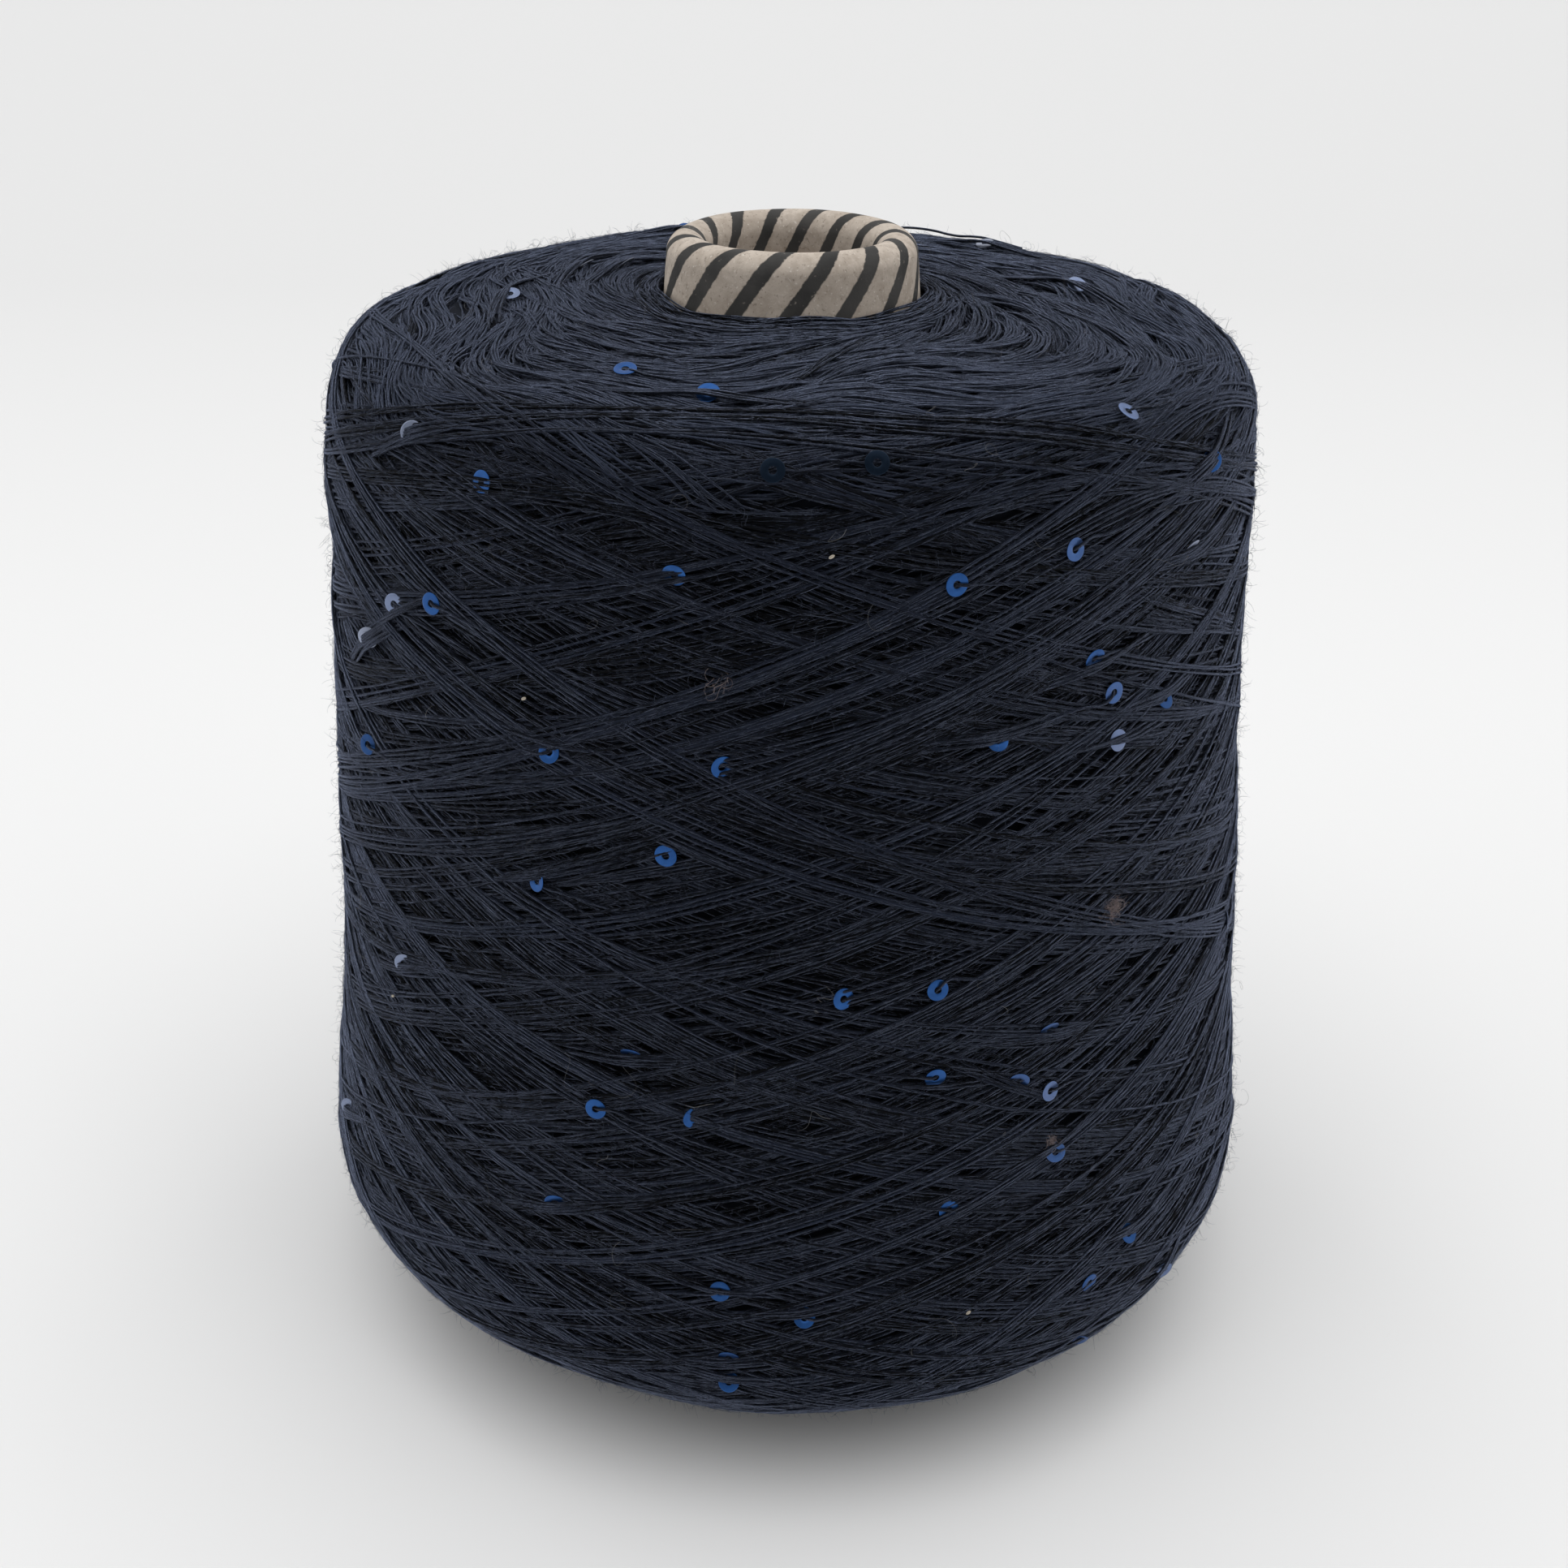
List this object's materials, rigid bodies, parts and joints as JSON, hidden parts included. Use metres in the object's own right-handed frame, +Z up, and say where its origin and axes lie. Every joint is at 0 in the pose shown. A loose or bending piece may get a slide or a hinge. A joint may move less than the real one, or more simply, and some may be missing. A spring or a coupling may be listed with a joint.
{
  "type": "cone of sequin yarn",
  "caption": "Cross-wound package of fine sequin yarn on a hollow tapered paperboard cone with a rolled, striped nose, and a slack strand on top.",
  "frame": {"origin": "centre of the paper cone's base rim, where the cone stands on a surface", "axes": "+Z up along the winding cone's axis, from its base to its nose; -Y is the front"},
  "size_m": [0.1534, 0.1537, 0.17],
  "materials": {
    "paperboard": "matte",
    "yarn": "matte",
    "sequin_film": "satin"
  },
  "bodies": {
    "root": {"paper_cone": "paperboard", "yarn_package": "yarn", "slack_strand": "yarn", "sequin_01": "sequin_film", "sequin_02": "sequin_film", "sequin_03": "sequin_film", "sequin_04": "sequin_film", "sequin_05": "sequin_film", "sequin_06": "sequin_film", "sequin_07": "sequin_film", "sequin_08": "sequin_film", "sequin_09": "sequin_film", "sequin_10": "sequin_film", "sequin_11": "sequin_film", "sequin_12": "sequin_film", "sequin_13": "sequin_film", "sequin_14": "sequin_film", "sequin_15": "sequin_film", "sequin_16": "sequin_film", "sequin_17": "sequin_film", "sequin_18": "sequin_film", "sequin_19": "sequin_film", "sequin_20": "sequin_film", "sequin_21": "sequin_film", "sequin_22": "sequin_film", "sequin_23": "sequin_film", "sequin_24": "sequin_film", "sequin_25": "sequin_film", "sequin_26": "sequin_film", "sequin_27": "sequin_film", "sequin_28": "sequin_film", "sequin_29": "sequin_film", "sequin_30": "sequin_film", "sequin_31": "sequin_film", "sequin_32": "sequin_film", "sequin_33": "sequin_film", "sequin_34": "sequin_film", "sequin_35": "sequin_film", "sequin_36": "sequin_film", "sequin_37": "sequin_film", "sequin_38": "sequin_film", "sequin_39": "sequin_film", "sequin_40": "sequin_film", "sequin_41": "sequin_film", "sequin_42": "sequin_film", "sequin_43": "sequin_film", "sequin_44": "sequin_film", "sequin_45": "sequin_film", "sequin_46": "sequin_film", "sequin_47": "sequin_film", "sequin_48": "sequin_film", "sequin_49": "sequin_film", "sequin_50": "sequin_film", "sequin_51": "sequin_film", "sequin_52": "sequin_film", "sequin_53": "sequin_film", "sequin_54": "sequin_film", "sequin_55": "sequin_film", "sequin_56": "sequin_film"}
  },
  "joints": []
}
